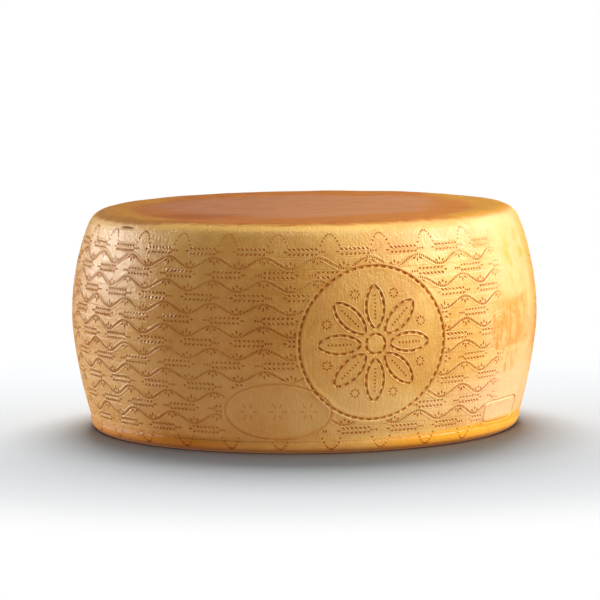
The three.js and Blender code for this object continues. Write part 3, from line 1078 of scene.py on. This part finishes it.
def rind_bump(rind):
    """Grain, upright cloth marks, pressed lips, the band each row of ears is in, and the foot's ledge."""
    on_left = rind.bearing_band(-120, -43, 18)
    coarse = rind.step(on_left, 0, 1, GRAIN_FINE, GRAIN_COARSE)
    grain = rind.times(rind.noise(430, 4, 0.62), coarse)
    cloth = rind.times(rind.noise(480, 3, 0.55, stretch=(1, 1, 1 / 9)), CLOTH_HIGH)
    rows = in_rows(rind)
    ear_rims = rind.times(ear_lips(rind), EAR_LIP_SHARE)
    lip_high = rind.step(on_left, 0, 1, LIP_LOW, LIP_PROUD)
    lips = rind.times(rind.larger(vine_lips(rind), ear_rims), rows)
    lips = rind.times(rind.larger(lips, petal_lips(rind)), lip_high)
    across_row = rind.math("PINGPONG", rind.rows, 0.5)
    raised = rind.times(rind.step(across_row, 0.23, 0.28), rows, BAND_HIGH)
    ledge_high = rind.step(on_left, 0, 1, LEDGE_HIGH, 0.0)
    ledge = rind.times(rind.step(rind.level, 10.9 * MM, 10.1 * MM), ledge_high)
    height = rind.plus(rind.plus(rind.plus(grain, cloth), rind.plus(lips, raised)), ledge)
    inputs = {"Height": height, "Strength": 1.0, "Distance": MM}
    return rind.node("ShaderNodeBump", inputs).outputs[0]


def rind_material(name, tint, rougher):
    """The waxy rind. A tint browns it and more roughness dulls it where a mark was pressed."""
    rind = RindShader(name)
    colour, on_top = top_colours(rind, rind_colour(rind))
    nick = rind.step(rind.mark_share(NICK), 1.2, 0.6)
    colour = rind.mix(nick, colour, NICK_BROWN)
    colour = rind.mix(1.0, colour, (*tint, 1), "MULTIPLY")
    rough = rind.step(rind.noise(60, 3), 0.3, 0.7, LEAST_ROUGH + rougher, MOST_ROUGH + rougher)
    dull = rind.times(rind.larger(on_top, nick), DULL)
    inputs = {
        "Base Color": colour,
        "Roughness": rind.plus(rough, dull, clamp=True),
        "Specular IOR Level": 0.5,
        "Normal": rind_bump(rind),
    }
    surface = rind.node("ShaderNodeBsdfPrincipled", inputs)
    rind.node("ShaderNodeOutputMaterial", {"Surface": surface.outputs[0]})
    return rind.owner


# ---- The studio

FLOOR_SIZE = 8.0
FLOOR_NEAR = 0.32
FLOOR_FAR = 0.62
PAPER = (0.342, 0.351, 0.358, 1)
FLOOR_GLOW = (0.56, 0.35, 0.24, 1)  # what the wheel gets back from the lit paper
ROOM_LIGHT = (0.045, 0.065, 0.08, 1)
WHITE = (1, 1, 1, 1)


def floor_material():
    """White paper that takes the wheel's shadow, and is as white as the room further off."""
    shader = Shader(bpy.data.materials.new("studio_floor"))
    place = shader.node("ShaderNodeTexCoord").outputs["Object"]
    far = shader.node("ShaderNodeVectorMath", {0: place}, operation="LENGTH").outputs["Value"]
    near = shader.node("ShaderNodeBsdfDiffuse", {"Color": PAPER})
    white = shader.node("ShaderNodeEmission", {"Color": WHITE, "Strength": 1.0})
    away = shader.step(far, FLOOR_NEAR, FLOOR_FAR)
    seen = shader.node("ShaderNodeMixShader", {0: away, 1: near.outputs[0], 2: white.outputs[0]})
    glow = shader.node("ShaderNodeEmission", {"Color": FLOOR_GLOW, "Strength": 1.0})
    mixed = shader.camera_sees(seen.outputs[0], glow.outputs[0])
    shader.node("ShaderNodeOutputMaterial", {"Surface": mixed})
    return shader.owner


def add_floor():
    bpy.ops.object.select_all(action="DESELECT")
    bpy.ops.mesh.primitive_plane_add(size=FLOOR_SIZE)
    floor = bpy.context.object
    floor.name = "studio_floor"
    floor.data.materials.append(floor_material())
    return floor


def add_softbox(name, bearing, rise, distance, size, power, colour, lit):
    """A soft light that faces the middle of the wheel, from a bearing and a rise in degrees."""
    bearing, rise = bearing * DEG, rise * DEG
    out = Vector((sin(bearing) * cos(rise), -cos(bearing) * cos(rise), sin(rise)))
    target = Vector((0, 0, HEIGHT / 2))
    bpy.ops.object.light_add(type="AREA", location=target + out * distance)
    light = bpy.context.object
    light.name = name
    light.rotation_euler = (-out).to_track_quat("-Z", "Y").to_euler()
    light.data.shape = "RECTANGLE"
    light.data.size, light.data.size_y = size
    light.data.energy = power
    light.data.color = colour
    light.light_linking.receiver_collection = lit


def lit_by(name, floor, state):
    """What a light falls on: only the floor, or all but the floor."""
    group = bpy.data.collections.new(name)
    group.objects.link(floor)
    group.collection_objects[0].light_linking.link_state = state
    return group


# Bearing and rise in degrees, distance and size in metres, power in watts, colour.
WHEEL_LIGHTS = {
    "key_light": (87, 32, 2.0, (1.0, 1.0), 46, (1.0, 0.99, 0.86)),
    "near_key": (57, 22, 2.0, (1.0, 0.8), 13, (1.0, 0.82, 0.58)),
    "left_strip": (-117, 14, 1.8, (0.3, 1.0), 24, (1.0, 1.0, 0.98)),
    "left_fill": (-96, 14, 1.8, (0.4, 1.2), 5.0, (1.0, 0.7, 0.45)),
    "top_light": (15, 66, 2.0, (1.4, 1.4), 11, (1.0, 0.94, 0.86)),
}
FLOOR_LIGHTS = {
    "floor_light": (180, 85, 1.6, (2.2, 2.2), 26, WHITE[:3]),
    "shadow_light": (180, 60, 2.0, (1.2, 1.2), 98, WHITE[:3]),
}


def light_studio(floor):
    wheel_only = lit_by("all_but_floor", floor, "EXCLUDE")
    floor_only = lit_by("floor_only", floor, "INCLUDE")
    for lights, lit in ((WHEEL_LIGHTS, wheel_only), (FLOOR_LIGHTS, floor_only)):
        for name, settings in lights.items():
            add_softbox(name, *settings, lit)


def add_room():
    """A dim, cool room that the camera sees as white."""
    bpy.context.scene.world = bpy.data.worlds.new("studio_room")
    shader = Shader(bpy.context.scene.world)
    dim = shader.node("ShaderNodeBackground", {"Color": ROOM_LIGHT})
    white = shader.node("ShaderNodeBackground", {"Color": WHITE})
    mixed = shader.camera_sees(white.outputs[0], dim.outputs[0])
    shader.node("ShaderNodeOutputWorld", {"Surface": mixed})
    bpy.context.scene.view_settings.view_transform = "Standard"


# ---- The scene

add_camera()
light_studio(add_floor())
add_room()
wheel = make_wheel(
    rind=rind_material("waxy_rind", (1, 1, 1), 0.0),
    groove=rind_material("grooved_rind", (0.99, 0.95, 0.89), 0.12),
    pit=rind_material("pressed_rind", (0.82, 0.61, 0.42), 0.35),
)
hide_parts("cheese_wheel")
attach(wheel, "root")
